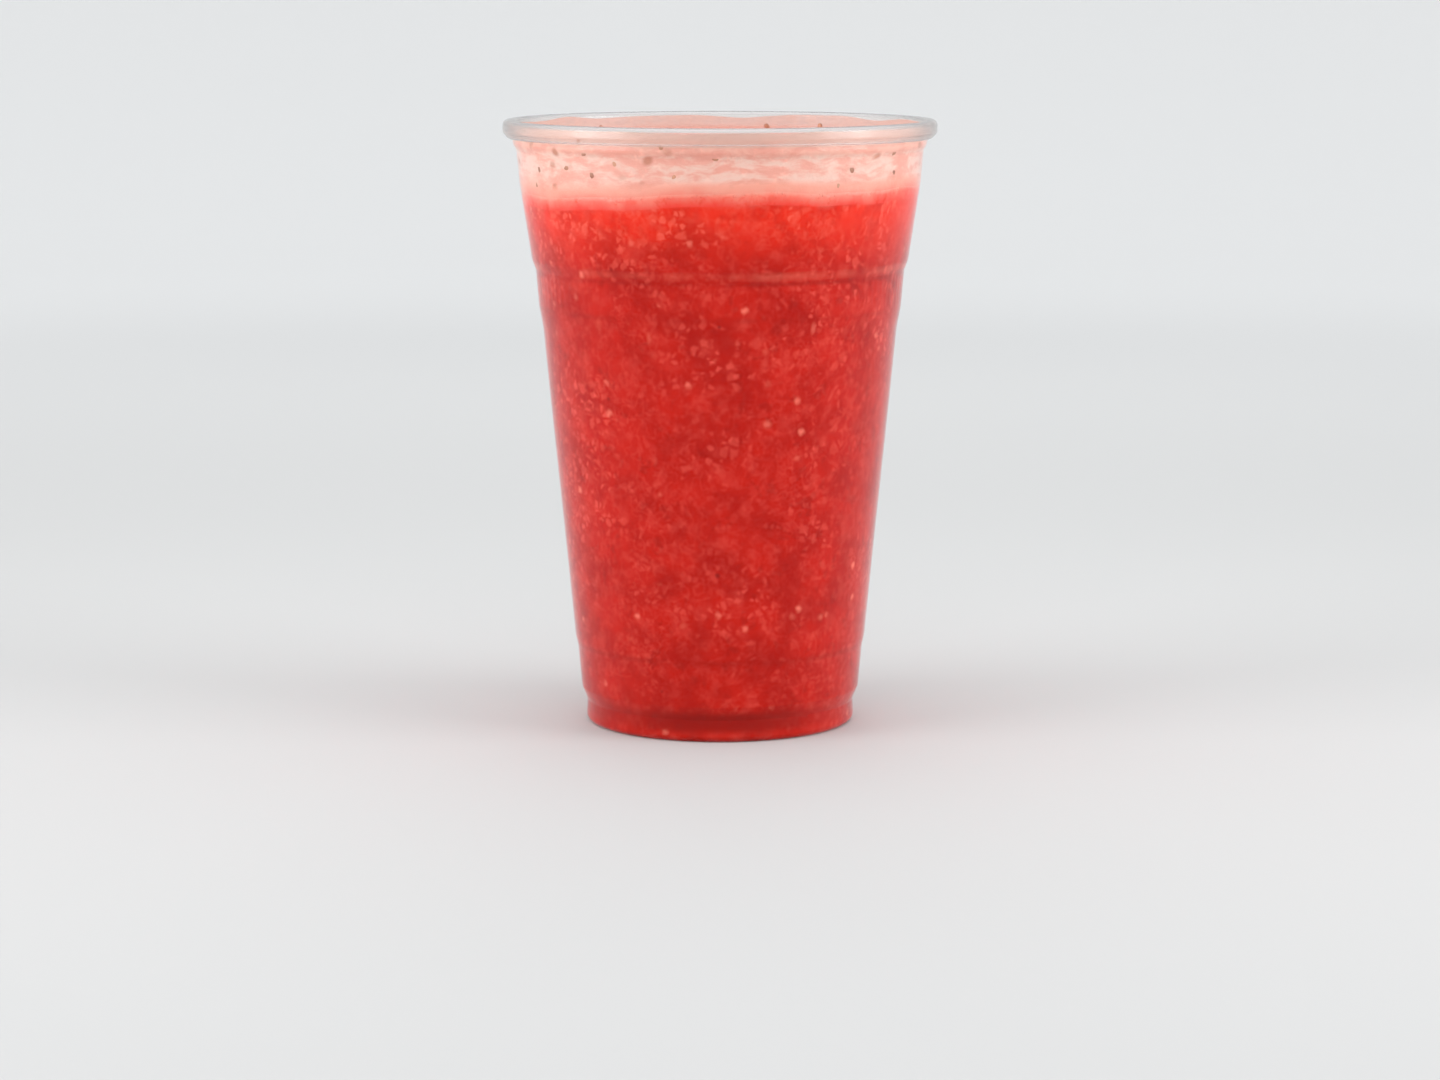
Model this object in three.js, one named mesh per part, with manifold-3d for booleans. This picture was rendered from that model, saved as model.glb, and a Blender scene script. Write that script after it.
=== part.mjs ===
// A clear plastic cold cup of the 20 fl oz size, filled with a blended strawberry ice drink.
// Millimetres, +Z up, with the origin at the centre of the circle that the cup stands on.

import * as THREE from 'three';
import { mergeVertices } from 'three/addons/utils/BufferGeometryUtils.js';
import Module from 'manifold-3d';

// Driving dimensions.
const RIM_RADIUS = 49; // half of the 98 mm rim that cold cup lids fit
const CUP_HEIGHT = 137.3;
const FOOT_RADIUS = 30.75;
const SHEET = 0.4; // thickness of the formed plastic sheet
const BASE_RISE = 3; // how far the middle of the base is pushed up
const FILL_HEIGHT = 121.4; // mean height of the froth's surface
const FROTH_DEPTH = 2;
const GAP = 0.3; // clearance between neighbouring pieces
const FILM = 0.4; // thickness of the smear on the inner wall

// Fineness of the solids.
const SEGMENTS = 48;
const ARC_STEP = THREE.MathUtils.degToRad(30); // largest turn of one chord of an arc
const SURFACE_RINGS = 6;

// ---- Outlines -------------------------------------------------------------------------------------------------
// An outline is a list of corners: r from the axis, z above the base, and the radius that rounds the corner.
// It runs from the middle of the base outwards and up, so that the drink lies on its left.

const corner = (r, z, round = 0) => ({ at: new THREE.Vector2(r, z), round });

// The wall's corners are given on its outer face, and the outline runs along the middle of the sheet.
const wall = (r, z, round = 0) => corner(r - SHEET / 2, z, round);

const ROLL_WIDTH = 2.65; // rolled rim, from the mouth to its outermost edge
const ROLL_BEND = 1;
const MOUTH_RADIUS = RIM_RADIUS - ROLL_WIDTH + SHEET / 2; // middle of the sheet, inner side of the roll
const ROLL_RADIUS = RIM_RADIUS - SHEET / 2; // middle of the sheet, outer side of the roll
const ROLL_TOP = CUP_HEIGHT - SHEET / 2;
const BASE_PANEL = 24.3; // radius where the raised middle of the base ends

const base = [
  corner(0, BASE_RISE + SHEET / 2),
  corner(BASE_PANEL, BASE_RISE + SHEET / 2, 1),
  corner(27.2, SHEET / 2, 1),
  wall(FOOT_RADIUS, SHEET / 2, 1.4),
];
const side = [
  wall(30.5, 5.1, 0.8), // groove above the foot ring
  wall(31.8, 8.2, 1.2),
  wall(32.6, 17.4), // lower step
  wall(33.15, 19.8),
  wall(40.15, 90.4), // stacking shoulder
  wall(41.1, 95.6),
  wall(41.8, 103.7, 0.8), // upper shoulder
  wall(42.65, 106, 1.2),
  wall(45.3, 123.2), // crease below the neck
  wall(46, 130.6, 1.2), // flare of the lid seat
];
const rim = [
  corner(MOUTH_RADIUS, 132, 1.2),
  corner(MOUTH_RADIUS, ROLL_TOP, ROLL_BEND),
  corner(ROLL_RADIUS, ROLL_TOP, ROLL_BEND),
  corner(ROLL_RADIUS, 134.6, 0.8),
  corner(47.35, 133.1), // the roll's free edge, tucked in under it
];
const cupLine = [...base, ...side, ...rim];

// Moves an outline to its left, or to its right where the distance is negative.
function offset(line, distance) {
  const normals = line.slice(1).map((next, i) => {
    const along = next.at.clone().sub(line[i].at).normalize();
    return new THREE.Vector2(-along.y, along.x);
  });
  return line.map(({ at, round }, i) => {
    const before = normals[Math.max(i - 1, 0)];
    const after = normals[Math.min(i, normals.length - 1)];
    const shift = before.clone().add(after).multiplyScalar(distance / (1 + before.dot(after)));
    const turnsLeft = Math.sign(before.cross(after));
    return { at: at.clone().add(shift), round: round && Math.max(round - turnsLeft * distance, 0.1) };
  });
}

// The outline's points, with each rounded corner drawn as an arc.
function rounded(line) {
  return line.flatMap(({ at, round }, i) => {
    if (!round || i === 0 || i === line.length - 1) return [at];
    const back = line[i - 1].at.clone().sub(at).normalize();
    const ahead = line[i + 1].at.clone().sub(at).normalize();
    const half = back.angleTo(ahead) / 2; // half of the angle inside the corner
    const turn = (2 * half - Math.PI) * Math.sign(back.cross(ahead));
    const centre = back.clone().add(ahead).setLength(round / Math.sin(half)).add(at);
    const start = back.multiplyScalar(round / Math.tan(half)).add(at).sub(centre);
    const steps = Math.max(1, Math.ceil(Math.abs(turn) / ARC_STEP));
    return Array.from({ length: steps + 1 }, (_, step) =>
      start.clone().rotateAround(new THREE.Vector2(), (turn * step) / steps).add(centre),
    );
  });
}

// The middle of the cup's wall at a height between the groove and the mouth.
function wallAt(z) {
  const corners = [...side, rim[0]];
  const upper = corners.findIndex(({ at }) => at.y >= z);
  const [low, high] = [corners[upper - 1].at, corners[upper].at];
  return low.clone().lerp(high, (z - low.y) / (high.y - low.y));
}

// The part of the cup's wall between two heights, moved inwards. A start of -Infinity keeps the whole base.
function wallBetween(start, end, inwards) {
  const within = [...base, ...side].filter(({ at }) => at.y > start && at.y < end);
  const first = Number.isFinite(start) ? [{ at: wallAt(start), round: 0 }] : [];
  return rounded(offset([...first, ...within, { at: wallAt(end), round: 0 }], inwards));
}

// ---- Solids ---------------------------------------------------------------------------------------------------

// Turns an outline round the Z axis.
function revolve(points) {
  return new THREE.LatheGeometry(points, SEGMENTS).rotateX(Math.PI / 2);
}

// Moves every vertex by a rule that gets the vertex and changes it.
function reshape(geometry, rule) {
  const places = geometry.getAttribute('position');
  const vertex = new THREE.Vector3();
  for (let i = 0; i < places.count; i++) {
    rule(vertex.fromBufferAttribute(places, i));
    places.setXYZ(i, vertex.x, vertex.y, vertex.z);
  }
  geometry.computeVertexNormals();
  return geometry;
}

// How far the surface of the drink stands above or below its mean: higher on the right, with a swell at the
// front right and shallow waves.
const TILT = 1.1;
const SWELL = { x: 27, y: -34, height: 1.6, spread: 13 };
const WAVE_HEIGHT = 0.3;
function surfaceRise(x, y) {
  const away = Math.hypot(x - SWELL.x, y - SWELL.y) / SWELL.spread;
  const waves = Math.sin(0.23 * x + 0.11 * y + 0.6) * Math.cos(0.19 * y - 0.05 * x);
  return (TILT * x) / RIM_RADIUS + SWELL.height * Math.exp(-(away ** 2) / 2) + WAVE_HEIGHT * waves;
}

// Lifts what lies above a height by the surface's rise, and widens it as the cone of the wall widens.
function followSurface(geometry, above) {
  const [low, high] = [wallAt(FILL_HEIGHT - 10), wallAt(FILL_HEIGHT)];
  const slope = (high.x - low.x) / (high.y - low.y);
  return reshape(geometry, (vertex) => {
    if (vertex.z < above) return;
    const rise = surfaceRise(vertex.x, vertex.y);
    const widen = 1 + (slope * rise) / high.x;
    vertex.set(vertex.x * widen, vertex.y * widen, vertex.z + rise);
  });
}

// Points from an outline's end straight across to the axis, or from the axis out to it.
function across(edge) {
  return Array.from({ length: SURFACE_RINGS }, (_, ring) => {
    return new THREE.Vector2(edge.x * (1 - (ring + 1) / SURFACE_RINGS), edge.y);
  });
}

function cupSolid() {
  const inner = rounded(offset(cupLine, SHEET / 2));
  const outer = rounded(offset(cupLine, -SHEET / 2));
  return revolve([...outer, ...inner.reverse()]);
}

const INWARDS = SHEET / 2 + GAP;
const DRINK_TOP = FILL_HEIGHT - FROTH_DEPTH - GAP;

function drinkSolid() {
  const outline = wallBetween(-Infinity, DRINK_TOP, INWARDS);
  const top = across(outline.at(-1));
  return followSurface(revolve([...outline, ...top]), DRINK_TOP - 1);
}

function frothSolid() {
  const outline = wallBetween(FILL_HEIGHT - FROTH_DEPTH, FILL_HEIGHT, INWARDS);
  const underside = across(outline[0]).reverse();
  const top = across(outline.at(-1));
  return followSurface(revolve([...underside, ...outline, ...top]), 0);
}

// The smear runs from just above the froth to below the mouth, and its upper edge is wavy.
const FILM_BOTTOM = 124.4;
const FILM_TOP = 131.6;
const FILM_WAVES = [
  { count: 3, height: 0.35, phase: 0.4 },
  { count: 7, height: 0.2, phase: 1.9 },
];

function filmShell() {
  const outer = wallBetween(FILM_BOTTOM, FILM_TOP, INWARDS);
  const inner = wallBetween(FILM_BOTTOM, FILM_TOP, INWARDS + FILM);
  const middle = (FILM_BOTTOM + FILM_TOP) / 2;
  return reshape(revolve([...outer, ...inner.reverse(), outer[0]]), (vertex) => {
    if (vertex.z < middle) return;
    const angle = Math.atan2(vertex.y, vertex.x);
    for (const { count, height, phase } of FILM_WAVES) vertex.z += height * Math.sin(count * angle + phase);
  });
}

// Strawberry seeds stuck in the smear, spread by the golden angle and standing out of its inner face.
const SEED = { count: 26, long: 0.75, wide: 0.5, thick: 0.45 }; // half sizes
const GOLDEN_ANGLE = Math.PI * (3 - Math.sqrt(5));

function seedSolids() {
  return Array.from({ length: SEED.count }, (_, i) => {
    const turn = i * GOLDEN_ANGLE;
    const share = (i * Math.SQRT2) % 1;
    const place = wallAt(THREE.MathUtils.lerp(FILM_BOTTOM + 1, FILM_TOP - 1.5, share));
    const reach = place.x - INWARDS - FILM;
    return new THREE.IcosahedronGeometry(1, 0)
      .scale(SEED.thick, SEED.wide, SEED.long)
      .rotateX(i)
      .translate(reach, 0, place.y)
      .rotateZ(turn);
  });
}

// Joins closed geometries into one.
const wasm = await Module();
wasm.setup();
function fuse(geometries) {
  const solids = geometries.map((geometry) => {
    const bare = new THREE.BufferGeometry().setAttribute('position', geometry.getAttribute('position'));
    bare.setIndex(geometry.getIndex());
    const merged = mergeVertices(bare, 1e-3);
    const vertProperties = merged.getAttribute('position').array;
    const triVerts = new Uint32Array(merged.getIndex().array);
    return new wasm.Manifold(new wasm.Mesh({ numProp: 3, vertProperties, triVerts }));
  });
  const joined = solids.reduce((whole, solid) => whole.add(solid)).getMesh();
  const geometry = new THREE.BufferGeometry();
  geometry.setAttribute('position', new THREE.BufferAttribute(joined.vertProperties, 3));
  geometry.setIndex(new THREE.BufferAttribute(joined.triVerts, 1));
  geometry.computeVertexNormals();
  return geometry;
}

// ---- Materials ------------------------------------------------------------------------------------------------

const clearPlastic = new THREE.MeshStandardMaterial({
  color: 0xf4f2f0,
  roughness: 0.06,
  metalness: 0,
  transparent: true,
  opacity: 0.3,
});
const redIce = new THREE.MeshStandardMaterial({ color: 0xc2281b, roughness: 0.5, metalness: 0 });
const paleFroth = new THREE.MeshStandardMaterial({ color: 0xf09a86, roughness: 0.7, metalness: 0 });
const pinkSmear = new THREE.MeshStandardMaterial({
  color: 0xeeb4a4,
  roughness: 0.45,
  metalness: 0,
  transparent: true,
  opacity: 0.6,
});

// ---- The part -------------------------------------------------------------------------------------------------

function piece(name, geometry, material) {
  const mesh = new THREE.Mesh(geometry, material);
  mesh.name = name;
  return mesh;
}

const filledCup = new THREE.Group();
filledCup.add(
  piece('cup', cupSolid(), clearPlastic),
  piece('drink', drinkSolid(), redIce),
  piece('froth', frothSolid(), paleFroth),
  piece('residue_film', fuse([filmShell(), ...seedSolids()]), pinkSmear),
);

export default filledCup;
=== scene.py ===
"""Looks of a clear plastic cold cup filled with a blended strawberry ice drink.

Outlines, places and sizes are in millimetres, and MM turns them into the frame's metres.
"""

import math
import random

import bmesh
import bpy
from mathutils import Matrix, Vector, noise


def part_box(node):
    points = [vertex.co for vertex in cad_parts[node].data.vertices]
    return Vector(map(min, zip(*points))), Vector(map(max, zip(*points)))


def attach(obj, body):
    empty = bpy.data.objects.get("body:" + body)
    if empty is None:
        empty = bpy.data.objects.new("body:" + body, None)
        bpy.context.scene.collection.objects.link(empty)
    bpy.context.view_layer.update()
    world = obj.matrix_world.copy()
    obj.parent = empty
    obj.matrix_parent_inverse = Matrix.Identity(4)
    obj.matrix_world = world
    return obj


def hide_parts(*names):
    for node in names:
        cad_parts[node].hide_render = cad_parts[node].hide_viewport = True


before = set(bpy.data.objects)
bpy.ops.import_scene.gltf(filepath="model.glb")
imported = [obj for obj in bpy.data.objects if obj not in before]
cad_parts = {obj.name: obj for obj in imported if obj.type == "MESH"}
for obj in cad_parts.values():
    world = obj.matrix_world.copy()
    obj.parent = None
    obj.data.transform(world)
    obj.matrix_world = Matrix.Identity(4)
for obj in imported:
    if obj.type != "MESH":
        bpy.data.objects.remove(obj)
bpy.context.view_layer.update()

MM = 0.001
CUP_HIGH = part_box("cup")[1] / MM  # the upper corner of the cup's box

# Driving dimensions, mm.
RIM_RADIUS = CUP_HIGH.x
CUP_HEIGHT = CUP_HIGH.z
FOOT_RADIUS = 30.75
SHEET = 0.4  # thickness of the formed plastic
BASE_RISE = 3
FILL_HEIGHT = 121.4  # mean height of the froth's surface
FROTH_DEPTH = 2

SEED_OF_DRAWS = 20
DEPTH_MARK = "depth"  # the mesh attribute that the drink's and the froth's materials read

# The camera stands in front of the cup, somewhat higher than its rim, and is pitched a little down.
CAMERA_DISTANCE = 881.5
CAMERA_HEIGHT = 173.5
CAMERA_PITCH = math.radians(8.53)
CAMERA_LENS = 97.2
SENSOR_WIDTH = 36


def make_camera():
    data = bpy.data.cameras.new("camera")
    data.lens = CAMERA_LENS
    data.sensor_width = SENSOR_WIDTH
    camera = bpy.data.objects.new("camera", data)
    camera.location = Vector((0, -CAMERA_DISTANCE, CAMERA_HEIGHT)) * MM
    camera.rotation_euler = (math.radians(90) - CAMERA_PITCH, 0, 0)
    bpy.context.scene.collection.objects.link(camera)
    bpy.context.scene.camera = camera


# ---- Outlines -----------------------------------------------------------------------------------------
# An outline is a list of corners: radius, height, and the radius that rounds the corner. It runs from the
# middle of the base outwards and up, so that the drink lies on its left.

ARC_STEP = math.radians(9)
STRAIGHT = 1e-4  # a corner that turns less than this isn't rounded
LEAST_ROUNDING = 0.1  # what a rounding shrinks to at most where the outline moves towards its centre


def wall(r, z, rounding=0.0):
    """A corner given on the cup's outer face, moved to the middle of the sheet."""
    return (r - SHEET / 2, z, rounding)


ROLL_WIDTH = 2.65  # rolled rim, from the mouth to its outermost edge
ROLL_BEND = 1
MOUTH_RADIUS = RIM_RADIUS - ROLL_WIDTH + SHEET / 2
ROLL_RADIUS = RIM_RADIUS - SHEET / 2
ROLL_TOP = CUP_HEIGHT - SHEET / 2
BASE_PANEL = 24.3  # radius of the base's raised middle

BASE = [
    (0, BASE_RISE + SHEET / 2, 0),
    (BASE_PANEL, BASE_RISE + SHEET / 2, 1),
    (27.2, SHEET / 2, 1),
    wall(FOOT_RADIUS, SHEET / 2, 1.4),
]
SIDE = [
    wall(30.5, 5.1, 0.8),  # groove above the foot ring
    wall(31.8, 8.2, 1.2),
    wall(32.6, 17.4, 1.5),  # lower step
    wall(33.15, 19.8, 1.5),
    wall(40.15, 90.4, 2),  # stacking shoulder
    wall(41.1, 95.6, 2),
    wall(41.8, 103.7, 0.8),  # upper shoulder
    wall(42.65, 106, 1.2),
    wall(45.3, 123.2, 1.5),  # crease below the neck
    wall(46, 130.6, 1.2),  # flare of the lid seat
]
RIM = [
    (MOUTH_RADIUS, 132, 1.2),
    (MOUTH_RADIUS, ROLL_TOP, ROLL_BEND),
    (ROLL_RADIUS, ROLL_TOP, ROLL_BEND),
    (ROLL_RADIUS, 134.6, 0.9),
    (47.6, 133.2, 0.5),
    (47, 133.7, 0),  # the roll's free edge, tucked in under it
]


def offset(line, distance):
    """The outline moved to its left, or to its right where the distance is negative."""
    places = [Vector(corner[:2]) for corner in line]
    normals = []
    for here, there in zip(places, places[1:]):
        along = (there - here).normalized()
        normals.append(Vector((-along.y, along.x)))
    moved = []
    for i, (place, corner) in enumerate(zip(places, line)):
        before = normals[max(i - 1, 0)]
        after = normals[min(i, len(normals) - 1)]
        place = place + (before + after) * distance / (1 + before.dot(after))
        turns_left = before.x * after.y - before.y * after.x > 0
        rounding = corner[2] and max(corner[2] - (distance if turns_left else -distance), LEAST_ROUNDING)
        moved.append((place.x, place.y, rounding))
    return moved


def rounded(line):
    """The outline's points, with each rounded corner drawn as an arc."""
    places = [Vector(corner[:2]) for corner in line]
    points = [places[0]]
    for before, place, after, corner in zip(places, places[1:], places[2:], line[1:]):
        back = (before - place).normalized()
        ahead = (after - place).normalized()
        half = back.angle(ahead) / 2
        if corner[2] == 0 or math.pi - 2 * half < STRAIGHT:
            points.append(place)
            continue
        turn = (2 * half - math.pi) * math.copysign(1, back.x * ahead.y - back.y * ahead.x)
        centre = place + (back + ahead).normalized() * corner[2] / math.sin(half)
        start = place + back * corner[2] / math.tan(half) - centre
        steps = max(1, math.ceil(abs(turn) / ARC_STEP))
        for step in range(steps + 1):
            points.append(centre + Matrix.Rotation(turn * step / steps, 2) @ start)
    return points + [places[-1]]


def spaced(points, longest):
    """The points with others added between them, so that no stretch is longer than that."""
    filled = [points[0]]
    for here, there in zip(points, points[1:]):
        parts = max(1, math.ceil((there - here).length / longest))
        filled += [here.lerp(there, (part + 1) / parts) for part in range(parts)]
    return filled


def wall_at(z):
    """The radius of the middle of the cup's sheet at a height between the groove and the mouth."""
    corners = SIDE + RIM[:2]
    upper = next(i for i, corner in enumerate(corners) if corner[1] >= z)
    low, high = corners[upper - 1], corners[upper]
    share = (z - low[1]) / (high[1] - low[1])
    return low[0] + (high[0] - low[0]) * share


# ---- Meshes -------------------------------------------------------------------------------------------


def smooth_noise(x, y, z, size):
    """Noise from -1 to 1 whose lumps are about that size across."""
    return noise.noise(Vector((x, y, z)) / size)


def ramp(value, start, end):
    """0 where the value is at start or before it, 1 at end or past it, and even between."""
    return min(1, max(0, (value - start) / (end - start)))


# The sheet is drawn into its mould a little unevenly, save at the foot and the rim.
WARP_SIZE = 17
WARP_HEIGHT = 0.07
WARP_RING = 30  # radius at which the noise is read, so that the same dent goes right through the wall
WARP_STRETCH = 0.6
EVEN_FOOT = (12, 22)
EVEN_RIM = (CUP_HEIGHT - 8, CUP_HEIGHT - 28)
EVEN_CORE = 1  # radius


def warp(angle, z):
    """How far the cup's wall stands out of its true round at an angle and a height."""
    x, y = WARP_RING * math.cos(angle), WARP_RING * math.sin(angle)
    uneven = WARP_HEIGHT * smooth_noise(x, y, z * WARP_STRETCH, WARP_SIZE)
    return uneven * ramp(z, *EVEN_RIM) * ramp(z, *EVEN_FOOT)


SHARP_ANGLE = math.radians(40)  # bends sharper than this keep an edge in the shading


def new_piece(name, points, faces, material, replaced=()):
    """A piece of the object from points in millimetres, riding on the one body."""
    mesh = bpy.data.meshes.new(name)
    mesh.from_pydata([Vector(p) * MM for p in points], [], faces)
    mesh.validate()
    mesh.polygons.foreach_set("use_smooth", [True] * len(mesh.polygons))
    mesh.set_sharp_from_angle(angle=SHARP_ANGLE)
    mesh.materials.append(material)
    piece = bpy.data.objects.new(name, mesh)
    bpy.context.scene.collection.objects.link(piece)
    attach(piece, "root")
    if replaced:
        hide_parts(*replaced)
    return piece


ON_AXIS = 1e-6  # points closer to the axis than this are on it


def revolve(outline, segments, closed=False, change=None):
    """Points and faces of an outline turned round Z. change moves each point and gets its x, y and z."""
    points, faces, rows = [], [], []
    for r, z in outline:
        if r < ON_AXIS:
            rows.append([len(points)] * segments)
            points.append(change(0, 0, z) if change else (0, 0, z))
            continue
        rows.append(range(len(points), len(points) + segments))
        for i in range(segments):
            angle = 2 * math.pi * i / segments
            x, y = r * math.cos(angle), r * math.sin(angle)
            points.append(change(x, y, z) if change else (x, y, z))
    pairs = list(zip(rows, rows[1:]))
    if closed:
        pairs.append((rows[-1], rows[0]))
    for low, high in pairs:
        for i in range(segments):
            j = (i + 1) % segments
            corners = [low[i], low[j], high[j], high[i]]
            face = [c for k, c in enumerate(corners) if c != corners[k - 1]]
            if len(face) > 2:
                faces.append(face)
    return points, faces


def warped(x, y, z):
    """A point of the wall after the sheet's unevenness."""
    r = math.hypot(x, y)
    out = 1 + warp(math.atan2(y, x), z) / r if r > EVEN_CORE else 1
    return (x * out, y * out, z)


# ---- Materials ----------------------------------------------------------------------------------------
# Sizes, heights and depths here are millimetres, save where a comment says otherwise. A depth is measured
# down from the drink's surface.

PLASTIC = (0.97, 0.975, 0.975, 1)
RIM_PLASTIC = (0.985, 0.96, 0.95, 1)
DEEP_RED = (0.32, 0.004, 0.001, 1)
DARK_RED = (0.47, 0.005, 0.001, 1)
MID_RED = (0.60, 0.012, 0.004, 1)
BRIGHT_RED = (0.85, 0.036, 0.012, 1)
CORAL = (0.80, 0.10, 0.07, 1)
LIGHT_CORAL = (0.90, 0.16, 0.10, 1)
PALE_CORAL = (0.93, 0.24, 0.16, 1)
SPECK = (0.24, 0.006, 0.004, 1)
SALMON = (0.88, 0.42, 0.32, 1)
FOAM_PINK = (0.95, 0.29, 0.20, 1)
FOAM_LIGHT = (0.96, 0.58, 0.46, 1)
SYRUP = (0.93, 0.15, 0.09, 1)
BUBBLE_PINK = (0.97, 0.40, 0.30, 1)
BUBBLE_LIGHT = (0.98, 0.70, 0.60, 1)
MILKY_PINK = (0.94, 0.44, 0.35, 1)
MILKY_LIGHT = (0.92, 0.53, 0.43, 1)
CREAM = (0.87, 0.67, 0.59, 1)
STAIN = (0.60, 0.24, 0.15, 1)
BEIGE = (0.80, 0.58, 0.50, 1)
SEED_DARK = (0.32, 0.12, 0.07, 1)
SEED_LIGHT = (0.62, 0.32, 0.20, 1)
STUDIO_NEAR = (0.62, 0.62, 0.615, 1)
STUDIO_FAR = (0.92, 0.92, 0.915, 1)
STUDIO_SPAN = (0.3, 1.3)  # metres from the cup: the near tone gives way to the far one

PET_IOR = 1.575
LET_THROUGH = (0.97, 0.97, 0.97, 1)  # of a lamp's light
RIM_HEIGHTS = (131, 134)  # the plastic turns milky and faintly warm between them: the warmth is partly drink smeared on the roll and partly painted light, the pink that the roll carries in from the drink
RIM_ROUGHNESS = (0.04, 0.18)  # below the rim and in it
MARK_DEPTH, RIB_SHARE = 0.02, 0.4  # of the plastic's drawing marks, and what the ribs add to them
RIB_COUNT = 116
RIB_BAND = (96, 98, 102.4, 103.4)  # the fine upright ribs fade in and out at these heights
GLINT_BAND = (88.5, 91.5, 94.5, 97)  # so do the pale upright streaks painted on the stacking shoulder as highlights
NECK_BAND = (124, 126.5, 130.8, 131.8)  # and the cream smears in the neck

FOAM_ABOVE, RED_BELOW = -2.6, 2.9  # depths between which the foam's salmon turns into the drink's red
EDGE_SIZE, EDGE_WAVES = 6, 3.6  # size of that edge's waves, and how far they go up and down
PALE_LUMPS = (0.1, -1.1)  # depths between which the foam's lumps turn pale: partly the foam's own colour, partly painted light on the lumps and painted shade, redder, in the dips
FINE_BUBBLES = (0.4, -0.2)  # and its fine bubbles set in
SMEAR_FOAM = (-4, -2)  # depths between which the smear takes on the foam's salmon
SMEAR_COVER = (-4, -1)  # and grows denser
BEIGE_HEIGHTS = (132, 135)  # heights between which it turns beige
THIN_HEIGHTS = (132.5, 134.5)  # and thins out
GLOW_DEPTHS = (17, 2.5)  # painted light: the drink grows brighter between them, towards its surface, as if lit from above through it
HOLLOW_DEPTHS = (6, 22)  # its hollows grow darker between them
CALM_FOOT = (4, 50)  # heights between which the ice grains grow stronger
# The shade round the foot: its height and half width. It is strongest up to "middle" to the left or right
# of the cup's axis, and weakest from "end" on.
FOOT_SHADE = {"height": 4.6, "half": 3.2, "middle": 6, "end": 27, "least": 0.2, "most": 0.85}
# Painted light and shade along the sheet's bends: a pale line at the upper shoulder and darker lines at the
# others.
CREASE_LIGHT_AND_SHADE = [  # height, half width, least and most strength, and colour
    (105.0, 1.4, 0.0, 0.3, PALE_CORAL),
    (103.3, 0.9, 0.1, 0.5, DEEP_RED),
    (95.3, 1.0, 0.05, 0.25, DEEP_RED),
    (18.4, 1.1, 0.05, 0.3, DEEP_RED),
]
GRAIN_GAP = 0.02  # between two grains, as a share of their size
GRAINS = [  # size, share of places that hold one, softness and strength
    (3.6, 0.4, 0.4, 0.2),
    (2.2, 0.38, 0.26, 0.55),
    (1.5, 0.36, 0.27, 0.7),
]
ELSEWHERE = (0.1, 0.1, 0.1)  # a move, in metres, that gives each size of grains a pattern of its own


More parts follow.
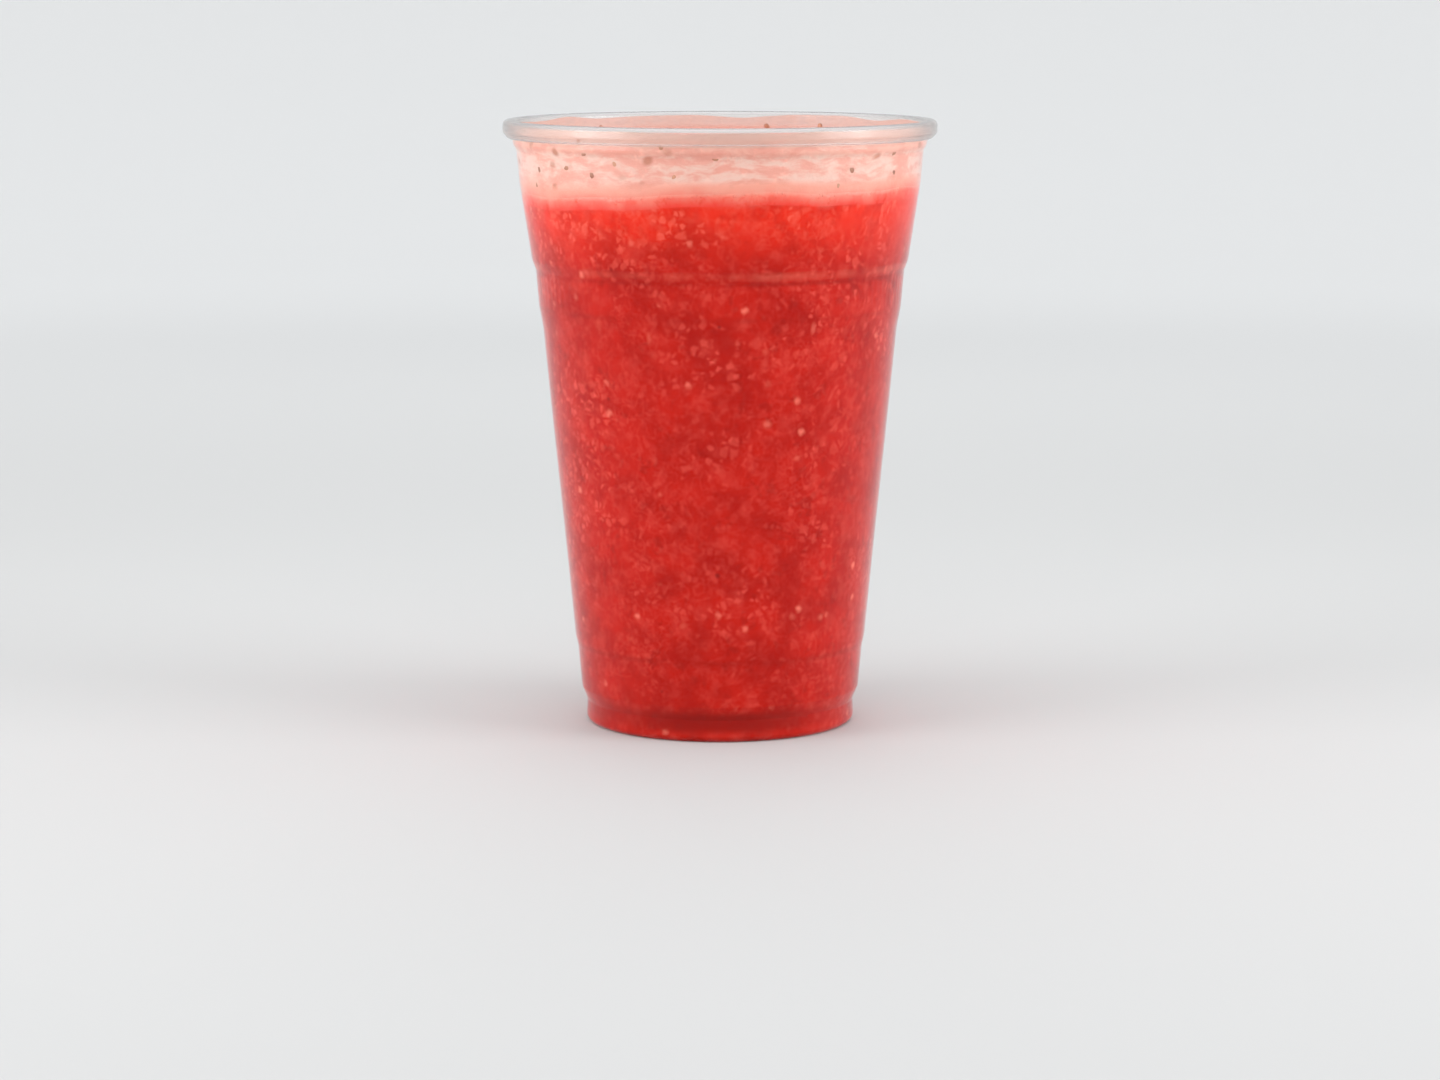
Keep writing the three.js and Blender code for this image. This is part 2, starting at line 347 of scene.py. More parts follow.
class Shader:
    """A new material's nodes. A value given to a socket is a number, a colour or another node's output."""

    def __init__(self, name):
        self.material = bpy.data.materials.new(name)
        self.material.use_nodes = True
        self.tree = self.material.node_tree
        self.tree.nodes.clear()
        self.place = self.add("TexCoord").outputs["Object"]

    def add(self, kind, sockets=None, **settings):
        made = self.tree.nodes.new("ShaderNode" + kind)
        for key, value in settings.items():
            setattr(made, key, value)
        for key, value in (sockets or {}).items():
            self.feed(made.inputs[key], value)
        return made

    def feed(self, socket, value):
        if isinstance(value, bpy.types.NodeSocket):
            self.tree.links.new(value, socket)
        else:
            socket.default_value = value

    def math(self, operation, *values):
        made = self.add("Math", operation=operation)
        for socket, value in zip(made.inputs, values):
            self.feed(socket, value)
        return made.outputs[0]

    def times(self, product, *others):
        """The product of all the values."""
        for value in others:
            product = self.math("MULTIPLY", product, value)
        return product

    def fade(self, value, start, end, low=0.0, high=1.0):
        """low where the value is at start, high where it is at end, and smooth between."""
        made = self.add("MapRange", interpolation_type="SMOOTHSTEP")
        numbers = (value, start, end, low, high)
        for key, number in zip(("Value", "From Min", "From Max", "To Min", "To Max"), numbers):
            self.feed(made.inputs[key], number)
        return made.outputs["Result"]

    def band(self, value, start, full, ebb, end):
        """1 where the value is from full to ebb, fading to 0 at start and at end."""
        return self.times(self.fade(value, start, full), self.fade(value, end, ebb))

    def line(self, value, middle, half, core=0.0):
        """1 where the value is within core of the middle, fading to 0 at half away from it."""
        away = self.math("ABSOLUTE", self.math("SUBTRACT", value, middle))
        return self.fade(away, half, core)

    def blend(self, share, first, second):
        """A colour that goes from the first to the second as the share goes from 0 to 1."""
        made = self.add("Mix", data_type="RGBA")
        sockets = [s for s in made.inputs if s.enabled]
        for socket, value in zip(sockets, (share, first, second)):
            self.feed(socket, value)
        return next(s for s in made.outputs if s.enabled)

    def moved(self, place, move):
        return self.add("VectorMath", {0: place, 1: move}, operation="ADD").outputs[0]

    def scaled(self, size, place=None, stretch=(1, 1, 1)):
        """The place measured in that many millimetres, or in fewer where the stretch is more than 1."""
        scale = [part / (size * MM) for part in stretch]
        return self.add("Mapping", {"Vector": place or self.place, "Scale": scale}).outputs[0]

    def noise(self, size, detail=2.0, roughness=0.5, place=None, stretch=(1, 1, 1)):
        """Noise from 0 to 1 whose lumps are about that many millimetres across."""
        sockets = {"Scale": 1.0, "Detail": detail, "Roughness": roughness}
        sockets["Vector"] = self.scaled(size, place, stretch)
        return self.add("TexNoise", sockets).outputs["Fac"]

    def shifted(self, size, amount):
        """The place moved by noise, so that grains get uneven outlines."""
        wobble = self.add("TexNoise", {"Vector": self.scaled(size), "Scale": 1.0, "Detail": 1.0})
        centred = self.moved(wobble.outputs["Color"], (-0.5, -0.5, -0.5))
        wobble = self.add("VectorMath", {0: centred, "Scale": amount * MM}, operation="SCALE")
        return self.moved(self.place, wobble.outputs[0])

    def cells(self, place):
        """The distance from the middle of the nearest cell, and a random number for each cell."""
        made = self.add("TexVoronoi", {"Vector": place, "Scale": 1.0})
        number = self.add("SeparateColor", {"Color": made.outputs["Color"]})
        return made.outputs["Distance"], number.outputs[0]

    def spots(self, size, edge, picked, most, place=None, stretch=(1, 1, 1)):
        """Soft round spots up to most, one in some of the cells.

        edge is where a spot begins and where it is full, as distances from a cell's middle. The cells whose
        random number is past picked's first hold a faint spot, and those past its second a full one.
        """
        near, number = self.cells(self.scaled(size, place, stretch))
        return self.times(self.fade(near, *edge), self.fade(number, *picked, 0.0, most))

    def grains(self, size, place, present, soft):
        """1 in the angular grains that are there and 0 between them. soft is how blurred they are."""
        place = self.scaled(size, place)
        number = self.cells(place)[1]
        edge = self.add("TexVoronoi", {"Vector": place, "Scale": 1.0}, feature="DISTANCE_TO_EDGE")
        inside = self.fade(edge.outputs["Distance"], GRAIN_GAP, GRAIN_GAP + soft)
        return self.times(inside, self.fade(number, 1 - present, 1 - present / 3))

    def depth(self):
        """The depth below the drink's surface, where a mesh has been marked with it."""
        return self.add("Attribute", attribute_name=DEPTH_MARK).outputs["Fac"]

    def redness(self):
        """0 in the foam above the drink's surface and 1 below it, along a wavy edge."""
        uneven = self.noise(EDGE_SIZE, detail=4)
        waves = self.math("MULTIPLY_ADD", uneven, -EDGE_WAVES, EDGE_WAVES / 2)
        return self.fade(self.math("ADD", self.depth(), waves), FOAM_ABOVE, RED_BELOW)

    def axes(self):
        """The place's x, y and z, in metres."""
        return self.add("SeparateXYZ", {"Vector": self.place}).outputs

    def height(self):
        """The height above the base."""
        return self.math("MULTIPLY", self.axes()["Z"], 1 / MM)

    def ribs(self):
        """A wave from -1 to 1 round the cup, in the band of fine upright ribs below its upper shoulder."""
        axes = self.axes()
        angle = self.math("ARCTAN2", axes["Y"], axes["X"])
        wave = self.math("SINE", self.math("MULTIPLY", angle, RIB_COUNT))
        return self.times(wave, self.band(self.height(), *RIB_BAND))

    def foot_shade(self):
        """The shade round the foot: strongest in the middle of the front and the back."""
        aside = self.math("MULTIPLY", self.math("ABSOLUTE", self.axes()["X"]), 1 / MM)
        shade = FOOT_SHADE
        across = self.fade(aside, shade["end"], shade["middle"], shade["least"], shade["most"])
        half = shade["half"]
        return self.times(across, self.line(self.height(), shade["height"], half, core=half / 3))

    def bump(self, height, depth):
        """A normal from a height from 0 to 1 that stands for that many millimetres."""
        return self.add("Bump", {"Height": height, "Distance": depth * MM}).outputs["Normal"]

    def principled(self, **sockets):
        named = {key.replace("_", " "): value for key, value in sockets.items()}
        return self.add("BsdfPrincipled", named)

    def finish(self, surface):
        self.add("OutputMaterial", {"Surface": surface.outputs[0]})
        return self.material


def clear_plastic():
    """Thin PET: clear and glossy, with faint drawing marks and a milky rim whose warm tint is partly
    painted light. Lamps shine through it.
    """
    shader = Shader("clear_plastic")
    marks = shader.noise(9, detail=3, stretch=(1, 1, 0.25))
    marks = shader.math("MULTIPLY_ADD", shader.ribs(), RIB_SHARE, marks)
    rim = shader.fade(shader.height(), *RIM_HEIGHTS)
    glass = shader.principled(
        # The rim's warm tint is partly drink smeared on it and partly painted light, the pink glow that the
        # rolled rim carries in.
        Base_Color=shader.blend(rim, PLASTIC, RIM_PLASTIC),
        Roughness=shader.fade(rim, 0, 1, *RIM_ROUGHNESS),
        IOR=PET_IOR,
        Specular_Tint=(0.25, 0.25, 0.25, 1),
        Transmission_Weight=1.0,
        Normal=shader.bump(marks, MARK_DEPTH),
    )
    lamp_ray = shader.add("LightPath").outputs["Is Shadow Ray"]
    open_way = shader.add("BsdfTransparent", {"Color": LET_THROUGH})
    shaders = {0: lamp_ray, 1: glass.outputs[0], 2: open_way.outputs[0]}
    return shader.finish(shader.add("MixShader", shaders))


def blended_ice():
    """Wet red slush: pools, dark hollows, curled threads, soft ice grains and a few dark specks."""
    shader = Shader("blended_ice")
    height = shader.height()
    depth = shader.depth()
    uneven = shader.shifted(1.5, 1.0)
    pools = shader.fade(shader.noise(9, detail=3, roughness=0.6), 0.30, 0.68)
    colour = shader.blend(pools, DARK_RED, MID_RED)
    # Painted light: the drink, and its flecks further down, grow brighter towards the surface, as if lit
    # from above through it.
    top_light = shader.fade(depth, *GLOW_DEPTHS)
    top_glow = shader.times(top_light, shader.fade(pools, 0.0, 0.8, 0.62, 0.95))
    colour = shader.blend(top_glow, colour, BRIGHT_RED)
    hollows = shader.noise(4, detail=3, roughness=0.6, place=uneven)
    deeper = shader.fade(depth, *HOLLOW_DEPTHS, 0.12, 0.38)
    colour = shader.blend(shader.times(shader.fade(hollows, 0.42, 0.32), deeper), colour, DEEP_RED)
    colour = shader.blend(shader.fade(hollows, 0.50, 0.68, 0.0, 0.22), colour, CORAL)

    # Threads and grains of ice, the grains in drifts.
    fleck = shader.blend(top_light, CORAL, LIGHT_CORAL)
    threads = shader.line(shader.noise(3.5, place=uneven), 0.5, 0.05)
    threads = shader.times(threads, shader.fade(pools, 0.1, 0.6, 0.06, 0.18))
    colour = shader.blend(threads, colour, fleck)
    drifts = shader.fade(shader.noise(20), 0.40, 0.62, 0.3, 1.0)
    drifts = shader.times(drifts, shader.fade(height, *CALM_FOOT, 0.35, 1.0))
    for size, present, soft, share in GRAINS:
        grains = shader.times(shader.grains(size, uneven, present, soft), drifts, share)
        colour = shader.blend(grains, colour, fleck)
        uneven = shader.moved(uneven, ELSEWHERE)
    bright = shader.spots(6, (0.21, 0.02), (0.5, 0.9), 0.8, place=uneven)
    colour = shader.blend(bright, colour, PALE_CORAL)
    # Painted highlights: pale upright streaks where light catches the stacking shoulder.
    shoulder_glints = shader.spots(5, (0.24, 0.08), (0.55, 0.9), 0.8, stretch=(1, 1, 0.4))
    shoulder_glints = shader.times(shoulder_glints, shader.band(height, *GLINT_BAND))
    colour = shader.blend(shoulder_glints, colour, PALE_CORAL)
    specks = shader.spots(11, (0.06, 0.03), (0.6, 0.65), 0.7)
    colour = shader.blend(specks, colour, SPECK)

    # Painted light and shade along the bends of the sheet: a painted highlight, a pale line, along the
    # upper shoulder, and painted shade, darker lines, along the others.
    broken = shader.noise(16, detail=3)
    for middle, half, least, most, tone in CREASE_LIGHT_AND_SHADE:
        painted_line = shader.times(shader.line(height, middle, half), shader.fade(broken, 0.4, 0.6, least, most))
        colour = shader.blend(painted_line, colour, tone)
    colour = shader.blend(shader.foot_shade(), colour, DEEP_RED)
    colour = shader.blend(shader.redness(), SALMON, colour)
    surface = shader.principled(
        Base_Color=colour,
        Roughness=0.6,
        Specular_IOR_Level=0.03,
        Normal=shader.bump(shader.ribs(), 0.05),
        Sheen_Weight=0.9,
        Sheen_Roughness=0.38,
        Sheen_Tint=(1, 0.45, 0.38, 1),
    )
    return shader.finish(surface)


def froth_foam():
    """Pale salmon foam: fine bubbles and streaks, redder where it meets the drink below."""
    shader = Shader("froth")
    depth = shader.depth()
    uneven = shader.shifted(2, 1.6)
    patches = shader.noise(3.5, detail=5, roughness=0.65, place=uneven)
    colour = shader.blend(shader.fade(patches, 0.30, 0.62), FOAM_PINK, SALMON)
    syrup = shader.noise(9, detail=4, roughness=0.6, place=uneven)
    colour = shader.blend(shader.fade(syrup, 0.56, 0.70, 0.0, 0.55), colour, SYRUP)
    grains = shader.times(shader.grains(1.7, uneven, 0.5, 0.3), 0.4)
    colour = shader.blend(grains, colour, FOAM_LIGHT)
    colour = shader.blend(shader.redness(), colour, BRIGHT_RED)
    # Paler lumps and redder dips: partly the foam's own colour, partly painted light and shade that bring
    # out the relief.
    colour = shader.blend(shader.fade(depth, *PALE_LUMPS, 0.0, 0.7), colour, SALMON)
    bubbles = shader.spots(0.8, (0.45, 0.2), (0.3, 1.0), 1.0)
    bubbles = shader.times(bubbles, shader.fade(depth, *FINE_BUBBLES))
    surface = shader.principled(
        Base_Color=colour,
        Roughness=shader.fade(patches, 0.3, 0.7, 0.22, 0.45),
        Specular_IOR_Level=0.4,
        Normal=shader.bump(bubbles, 0.12),
    )
    return shader.finish(surface)


def bubble_skin():
    """The thin wet skin of the bubbles on the foam."""
    shader = Shader("bubble_skin")
    colour = shader.blend(shader.noise(3), BUBBLE_PINK, BUBBLE_LIGHT)
    return shader.finish(shader.principled(Base_Color=colour, Roughness=0.06, Alpha=0.5))


def drink_smear():
    """A thin smear of drink: milky pink, with cream smears across it and spots that are see-through."""
    shader = Shader("drink_smear")
    height = shader.height()
    depth = shader.depth()
    uneven = shader.shifted(7, 3.0)
    streaks = shader.noise(5, detail=4, roughness=0.6, place=uneven, stretch=(0.8, 0.8, 2.4))
    blots = shader.noise(2.2, detail=3, roughness=0.6)
    colour = shader.blend(shader.fade(streaks, 0.35, 0.6), MILKY_PINK, MILKY_LIGHT)
    smears = shader.times(shader.fade(streaks, 0.42, 0.62, 0.1, 0.75), shader.band(height, *NECK_BAND))
    colour = shader.blend(smears, colour, CREAM)
    stains = shader.spots(5, (0.34, 0.1), (0.4, 0.9), 0.85, place=uneven, stretch=(1, 1, 1.3))
    colour = shader.blend(stains, colour, STAIN)
    colour = shader.blend(shader.fade(depth, *SMEAR_FOAM), colour, SALMON)
    colour = shader.blend(shader.redness(), colour, BRIGHT_RED)
    colour = shader.blend(shader.fade(height, *BEIGE_HEIGHTS), colour, BEIGE)

    cover = shader.fade(streaks, 0.35, 0.60, 0.82, 0.95)
    cover = shader.math("ADD", cover, shader.fade(blots, 0.55, 0.72, 0.0, 0.1))
    cover = shader.math("ADD", cover, shader.fade(depth, *SMEAR_COVER, 0.0, 0.2))
    cover = shader.times(cover, shader.fade(height, *THIN_HEIGHTS, 1.0, 0.65))
    surface = shader.principled(
        Base_Color=colour,
        Roughness=0.4,
        Alpha=shader.math("MINIMUM", cover, 1.0),
        Normal=shader.bump(blots, 0.15),
    )
    return shader.finish(surface)


def seed_shell():
    """Strawberry seeds, from straw brown to dark brown."""
    shader = Shader("strawberry_seeds")
    tone = shader.noise(4)
    colour = shader.blend(shader.fade(tone, 0.35, 0.65), SEED_DARK, SEED_LIGHT)
    surface = shader.principled(Base_Color=colour, Roughness=0.4, Normal=shader.bump(tone, 0.05))
    return shader.finish(surface)


def pale_studio():
    """The floor and the wall round it, plain and pale, and a little darker near the cup."""
    shader = Shader("pale_studio")
    away = shader.add("VectorMath", {0: shader.place}, operation="LENGTH").outputs["Value"]
    colour = shader.blend(shader.fade(away, *STUDIO_SPAN), STUDIO_NEAR, STUDIO_FAR)
    return shader.finish(shader.principled(Base_Color=colour, Roughness=0.9, Specular_IOR_Level=0.1))


# ---- The pieces ---------------------------------------------------------------------------------------

ROUND = 192  # segments of what is turned
FROTH_ROUND = 256
FILM_ROUND = 300
LONGEST = 4  # the longest stretch between two points of a wall's outline
CONTACT = 0.1  # how far the drink reaches into the sheet, so that the two look wet against each other
SKIRT = 0.04  # how far the froth's edge laps over the drink's


def make_cup(material):
    """The cup: one formed sheet, from the base to the rolled rim."""
    line = BASE + SIDE + RIM
    outer = spaced(rounded(offset(line, -SHEET / 2)), LONGEST)
    inner = spaced(rounded(offset(line, SHEET / 2)), LONGEST)
    points, faces = revolve(outer + inner[::-1], ROUND, change=warped)
    new_piece("cup_clear", points, faces, material, ["cup"])


# The drink's surface is higher on the right, with a swell at the front and shallow waves.
TILT = 1.1  # at the rim's radius
SWELL = {"x": -2, "y": -45, "height": 1.1, "spread": 17}
WAVE_HEIGHT = 0.3
WAVE = (0.23, 0.11, 0.6)  # turn for each mm of x and of y, and where it starts
WAVE_ACROSS = (-0.05, 0.19)


def surface_rise(x, y):
    """How far the drink's surface stands above its mean height."""
    away = math.hypot(x - SWELL["x"], y - SWELL["y"]) / SWELL["spread"]
    swell = SWELL["height"] * math.exp(-(away**2) / 2)
    wave = math.sin(WAVE[0] * x + WAVE[1] * y + WAVE[2])
    across = math.cos(WAVE_ACROSS[0] * x + WAVE_ACROSS[1] * y)
    return TILT * x / RIM_RADIUS + swell + WAVE_HEIGHT * wave * across


def mark_depth(piece):
    """Writes at every point of the piece how far it lies below the drink's surface."""
    places = [v.co / MM for v in piece.data.vertices]
    depths = [FILL_HEIGHT + surface_rise(p.x, p.y) - p.z for p in places]
    piece.data.attributes.new(DEPTH_MARK, "FLOAT", "POINT").data.foreach_set("value", depths)


SLOPE_SPAN = 10  # height over which the wall's slope is measured


def follow_surface(x, y, z, above):
    """Lifts a point above that height by the surface's rise, widening as the wall does."""
    if z >= above:
        slope = (wall_at(FILL_HEIGHT) - wall_at(FILL_HEIGHT - SLOPE_SPAN)) / SLOPE_SPAN
        rise = surface_rise(x, y)
        widen = 1 + slope * rise / wall_at(FILL_HEIGHT)
        x, y, z = x * widen, y * widen, z + rise
    return warped(x, y, z)


def level_rings(edge, count):
    """Points from an outline's edge straight across to the axis, without the edge itself."""
    return [Vector((edge.x * (1 - (ring + 1) / count), edge.y)) for ring in range(count)]


def inside_line(top):
    """The outline of what fills the cup to a height, reaching a little into the sheet."""
    line = [c for c in BASE + SIDE if c[1] < top] + [(wall_at(top), top, 0)]
    return rounded(offset(line, SHEET / 2 - CONTACT))


HIDDEN_RINGS = 12  # rings of the faces between the drink and the froth
OVERLAP = 0.3  # how far the drink reaches up into the froth
SLOPING_TOP = 0.8  # how far below its top the drink begins to follow the surface


def make_drink(material):
    """The drink, up to the foam and a little into it."""
    top = FILL_HEIGHT - FROTH_DEPTH + OVERLAP
    line = spaced(inside_line(top), LONGEST)

    def change(x, y, z):
        return follow_surface(x, y, z, top - SLOPING_TOP)

    points, faces = revolve(line + level_rings(line[-1], HIDDEN_RINGS), ROUND, change=change)
    mark_depth(new_piece("drink_slush", points, faces, material, ["drink"]))


FOAM_RADIUS = wall_at(FILL_HEIGHT) - SHEET / 2
CLIMB = 0.9  # how much higher the foam stands along the wall
LUMPS = ((8, 0.7), (2.6, 0.35))  # size and height
FOLD_SIZE, FOLD_HEIGHT = 9, 0.7
FOLD_STRETCH = 1.6
FOLD_SHARPNESS = 7
BEND_SIZE, BEND = 12, 4  # the folds wander this far from straight
LUMP_LEVEL, BEND_LEVEL, FOLD_LEVEL = 3, 30, 41  # where each pattern is read in the noise
GRAIN_SIZE, GRAIN_HEIGHT = 2.4, 0.45
GRAIN_SHARE = 0.45  # radius of a grain, as a share of its cell
CALM_EDGE = 3  # the relief fades out this close to the wall


def foam_lift(x, y):
    """How far the foam's lumps, pour lines and ice grains stand above the drink's surface."""
    lumps = sum(height * smooth_noise(x, y, LUMP_LEVEL, size) for size, height in LUMPS)
    bend = BEND * smooth_noise(x, y, BEND_LEVEL, BEND_SIZE)
    ridges = 1 - abs(smooth_noise(x + bend, FOLD_STRETCH * y, FOLD_LEVEL, FOLD_SIZE))
    nearest = noise.voronoi(Vector((x, y, 0)) / GRAIN_SIZE)[0][0]
    grains = GRAIN_HEIGHT * max(0, 1 - nearest / GRAIN_SHARE)
    relief = lumps + FOLD_HEIGHT * ridges**FOLD_SHARPNESS + grains
    return relief * ramp(FOAM_RADIUS - math.hypot(x, y), 0, CALM_EDGE)


CREST = Vector((-0.5, -0.4))  # from the top of the climb to the foam's slope beside it
CREST_FOOT = Vector((-1.3, -CLIMB))
FROTH_STEP = 0.5
FROTH_RINGS = 90
TOP_MARGIN = 0.2  # points less than this below the froth's surface are part of it


def make_froth(material):
    """The foam on the drink, a little higher along the wall."""
    reach = CONTACT + SKIRT
    low = Vector((wall_at(FILL_HEIGHT - FROTH_DEPTH) - SHEET / 2 + reach, FILL_HEIGHT - FROTH_DEPTH))
    high = Vector((FOAM_RADIUS + reach, FILL_HEIGHT))
    climb = high + Vector((0, CLIMB))
    under = level_rings(low, HIDDEN_RINGS)[::-1]
    edge = [low, high, climb, climb + CREST, climb + CREST_FOOT]
    line = under + spaced(edge, FROTH_STEP) + level_rings(edge[-1], FROTH_RINGS)

    def change(x, y, z):
        if z > FILL_HEIGHT - TOP_MARGIN:
            z += foam_lift(x, y)
        return follow_surface(x, y, z, 0)

    points, faces = revolve(line, FROTH_ROUND, change=change)
    mark_depth(new_piece("froth_foam", points, faces, material, ["froth"]))


BUBBLES_AT_WALL = 90
WALL_ROW = 1.8  # how far from the wall those gather, and how widely they spread from there
BUBBLE_CLUSTERS = 16
BUBBLES_IN_CLUSTER = 9
CLUSTER_REACH = 0.9  # share of the foam's radius
CLUSTER_SPREAD = 2
BUBBLE_RADII = (0.25, 1.3)
BUBBLE_SKEW = 3  # the higher this is, the fewer of them are large
BUBBLE_SUNK = 0.3  # share of its radius that a bubble's middle lies below the foam
BUBBLE_CLEARANCE = 0.2  # between a bubble and the wall


def ball():
    """A round ball of radius 1, as points and faces."""
    shape = bmesh.new()
    bmesh.ops.create_icosphere(shape, subdivisions=2, radius=1)
    points = [v.co.copy() for v in shape.verts]
    faces = [[v.index for v in f.verts] for f in shape.faces]
    shape.free()
    return points, faces


def make_bubbles(material):
    """Bubbles half sunk in the foam: most along the wall, the others in loose clusters."""
    draws = random.Random(SEED_OF_DRAWS)
    places = []
    for _ in range(BUBBLES_AT_WALL):
        angle = draws.uniform(0, 2 * math.pi)
        r = FOAM_RADIUS - WALL_ROW - abs(draws.gauss(0, WALL_ROW))
        places.append((r * math.cos(angle), r * math.sin(angle)))
    for _ in range(BUBBLE_CLUSTERS):
        angle = draws.uniform(0, 2 * math.pi)
        r = FOAM_RADIUS * CLUSTER_REACH * math.sqrt(draws.random())
        for _ in range(BUBBLES_IN_CLUSTER):
            x = r * math.cos(angle) + draws.gauss(0, CLUSTER_SPREAD)
            y = r * math.sin(angle) + draws.gauss(0, CLUSTER_SPREAD)
            places.append((x, y))
    shape, shape_faces = ball()
    points, faces = [], []
    least, most = BUBBLE_RADII
    for x, y in places:
        radius = least + (most - least) * draws.random() ** BUBBLE_SKEW
        if math.hypot(x, y) + radius > FOAM_RADIUS - BUBBLE_CLEARANCE:
            continue
        z = FILL_HEIGHT + foam_lift(x, y) - BUBBLE_SUNK * radius
        middle = Vector(follow_surface(x, y, z, 0))
        faces += [[i + len(points) for i in face] for face in shape_faces]
        points += [middle + place * radius for place in shape]
    new_piece("froth_bubbles", points, faces, material)


FILM_BOTTOM = FILL_HEIGHT - 0.5
FILM_TOP = 136.2
FILM_STEP = 0.4
FILM_LAP = 0.02  # how far it reaches into the sheet
FILM_THINNEST = 0.05
STREAK_SIZE, STREAK_THICKNESS = 4, 0.35
STREAK_FLATNESS = 2
THINNING = 6  # how quickly it grows thinner above the foam
RAGGED_SIZE, RAGGED_EDGE = 12, 0.8  # its upper edge goes up and down by that much
RAGGED_LEVEL = 10  # where that pattern is read in the noise


def make_film(material):
    """The smear on the inner wall: thicker in streaks and at the foam, with an uneven upper edge."""
    levels = spaced([Vector((0, FILM_BOTTOM)), Vector((0, FILM_TOP))], FILM_STEP)
    outer = [(wall_at(level.y) - SHEET / 2 + FILM_LAP, level.y) for level in levels]
    inner = [(r - 2 * FILM_LAP, z) for r, z in outer]

    def change(x, y, z):
        angle = math.atan2(y, x)
        inwards = math.hypot(x, y) < wall_at(z) - SHEET / 2
        share = (z - FILM_BOTTOM) / (FILM_TOP - FILM_BOTTOM)
        z += surface_rise(x, y) * max(0, 1 - 2 * share)
        z += RAGGED_EDGE * smooth_noise(x, y, RAGGED_LEVEL, RAGGED_SIZE) * max(0, 2 * share - 1)
        r = wall_at(z) - SHEET / 2 + FILM_LAP
        if inwards:
            streak = max(0, smooth_noise(x, y, STREAK_FLATNESS * z, STREAK_SIZE)) * (1 - share)
            foot = math.exp(-THINNING * share)
            r -= FILM_LAP + FILM_THINNEST + STREAK_THICKNESS * (streak + foot)
        return warped(r * math.cos(angle), r * math.sin(angle), z)

    points, faces = revolve(outer + inner[::-1], FILM_ROUND, closed=True, change=change)
    mark_depth(new_piece("residue_smear", points, faces, material, ["residue_film"]))


SEED_COUNT = 46
SEED_HEIGHTS = (FILM_BOTTOM + 2.5, FILM_TOP - 1.5)
SEED_SIZE = (0.62, 0.92, 0.3)  # half sizes: across, along and out of the wall
SEED_SCALES = (0.6, 1.05)
SEED_TAPER = 0.35
SEED_CONTACT = 0.06  # how far they reach into the wall, pressed flat against it
SEED_OFF_WALL = 0.6  # the furthest that a seed's middle lies from there, as a share of its half thickness


def seed_shape():
    """A strawberry seed: a flattened drop, as points and faces."""
    points, faces = ball()
    across, along, out = SEED_SIZE
    drop = [Vector((x * (1 - SEED_TAPER * y) * across, y * along, z * out)) for x, y, z in points]
    return drop, faces


def make_seeds(material):
    """Seeds at random in the smear, pressed against the wall, all one piece."""
    draws = random.Random(SEED_OF_DRAWS)
    shape, shape_faces = seed_shape()
    points, faces = [], []
    for _ in range(SEED_COUNT):
        angle = draws.uniform(0, 2 * math.pi)
        z = draws.uniform(*SEED_HEIGHTS)
        spin = draws.uniform(0, math.pi)
        size = draws.uniform(*SEED_SCALES)
        contact = wall_at(z) - SHEET / 2 + SEED_CONTACT
        reach = contact - draws.uniform(0.0, SEED_OFF_WALL) * SEED_SIZE[2] * size
        stand = Matrix.Rotation(angle, 3, "Z") @ Matrix(((0, 0, -1), (1, 0, 0), (0, 1, 0)))
        turn = stand @ Matrix.Rotation(spin, 3, "Z")
        middle = Vector((reach * math.cos(angle), reach * math.sin(angle), z))
        faces += [[i + len(points) for i in face] for face in shape_faces]
        for place in shape:
            point = middle + turn @ (place * size)
            flat = min(1, contact / math.hypot(point.x, point.y))
            points.append(warped(point.x * flat, point.y * flat, point.z))
    new_piece("strawberry_seeds", points, faces, material)


# ---- Floor, light and the whole -----------------------------------------------------------------------

FLOOR_RADIUS = 1300
FLOOR_BEND = 500
BACKDROP_HEIGHT = 620
FLOOR_SEGMENTS = 96

LAMPS = [  # name, place, size, watts, and whether it shows in what is glossy or clear
    ("left_softbox", (-750, -340, 220), (500, 700), 1.9, True),
    ("right_softbox", (770, -290, 280), (500, 700), 1.75, True),
    ("back_softbox", (0, 850, 600), (700, 500), 0.6, False),
    ("front_softbox", (0, -900, 600), (600, 500), 0.28, False),
    ("top_softbox", (-60, -120, 900), (700, 700), 0.3, True),
]
LAMP_AIM = (0, 0, 70)
LAMP_SPREAD = math.radians(110)  # narrow enough to keep the lamps off the floor close to them
WORLD_COLOUR = (0.96, 0.98, 1, 1)
WORLD_STRENGTHS = (0.7, 0.95)  # level with the cup and straight above it
BOUNCES = 16  # enough for light to cross the rolled rim


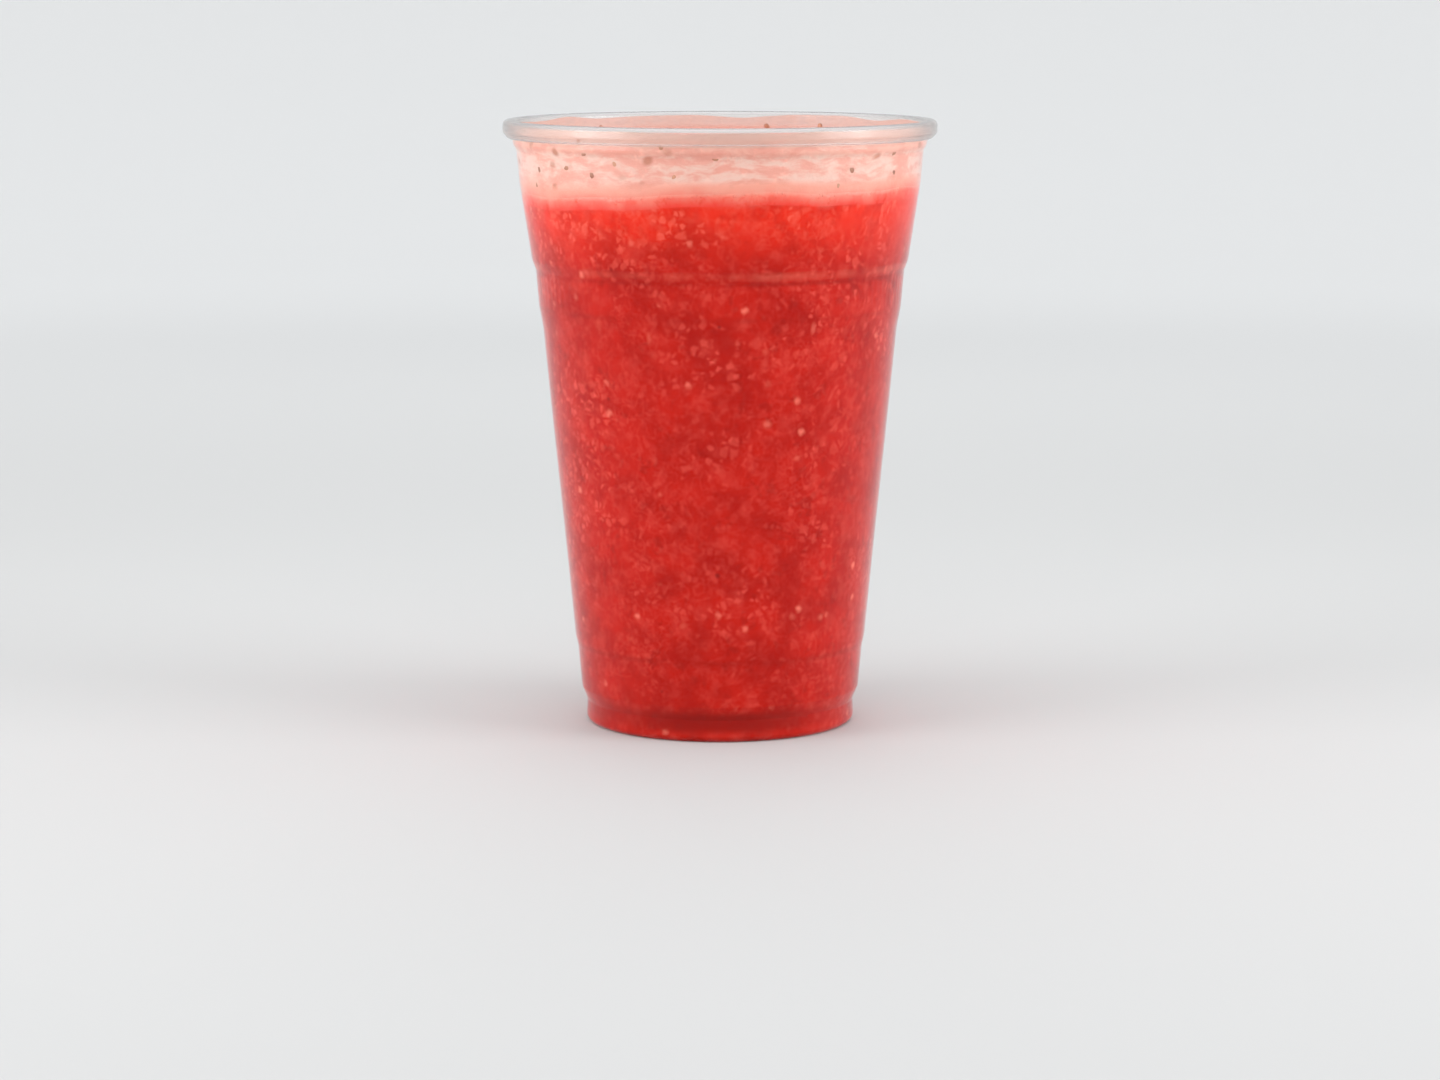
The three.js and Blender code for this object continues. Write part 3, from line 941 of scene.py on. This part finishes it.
def make_floor(material):
    """A round floor that bends up into a wall all round."""
    wall_radius = FLOOR_RADIUS + FLOOR_BEND
    line = [(0, 0, 0), (wall_radius, 0, FLOOR_BEND), (wall_radius, BACKDROP_HEIGHT, 0)]
    points, faces = revolve(rounded(line), FLOOR_SEGMENTS)
    mesh = bpy.data.meshes.new("floor")
    mesh.from_pydata([Vector(p) * MM for p in points], [], faces)
    mesh.polygons.foreach_set("use_smooth", [True] * len(mesh.polygons))
    mesh.materials.append(material)
    floor = bpy.data.objects.new("floor", mesh)
    bpy.context.scene.collection.objects.link(floor)


def softbox(name, place, size, power, shines):
    """An area light aimed at the cup. shines tells whether it shows in what is glossy or clear."""
    data = bpy.data.lights.new(name, "AREA")
    data.shape = "RECTANGLE"
    data.size, data.size_y = (length * MM for length in size)
    data.energy = power
    data.spread = LAMP_SPREAD
    lamp = bpy.data.objects.new(name, data)
    lamp.location = Vector(place) * MM
    lamp.rotation_euler = (Vector(LAMP_AIM) - Vector(place)).to_track_quat("-Z", "Y").to_euler()
    lamp.visible_camera = False
    lamp.visible_glossy = shines
    lamp.visible_transmission = shines
    bpy.context.scene.collection.objects.link(lamp)


def make_light():
    """A pale sky, the lamps, and how far Cycles follows the light."""
    world = bpy.data.worlds.new("studio")
    world.use_nodes = True
    nodes, links = world.node_tree.nodes, world.node_tree.links
    direction = nodes.new("ShaderNodeTexCoord")
    split = nodes.new("ShaderNodeSeparateXYZ")
    brighter_above = nodes.new("ShaderNodeMapRange")
    for key, strength in zip(("To Min", "To Max"), WORLD_STRENGTHS):
        brighter_above.inputs[key].default_value = strength
    links.new(direction.outputs["Generated"], split.inputs[0])
    links.new(split.outputs["Z"], brighter_above.inputs["Value"])
    links.new(brighter_above.outputs["Result"], nodes["Background"].inputs["Strength"])
    nodes["Background"].inputs["Color"].default_value = WORLD_COLOUR
    bpy.context.scene.world = world
    for lamp in LAMPS:
        softbox(*lamp)
    bpy.context.scene.view_settings.view_transform = "Standard"
    bpy.context.scene.cycles.max_bounces = BOUNCES
    bpy.context.scene.cycles.transmission_bounces = BOUNCES


make_camera()
make_floor(pale_studio())
make_light()
make_cup(clear_plastic())
make_drink(blended_ice())
make_froth(froth_foam())
make_bubbles(bubble_skin())
make_film(drink_smear())
make_seeds(seed_shell())
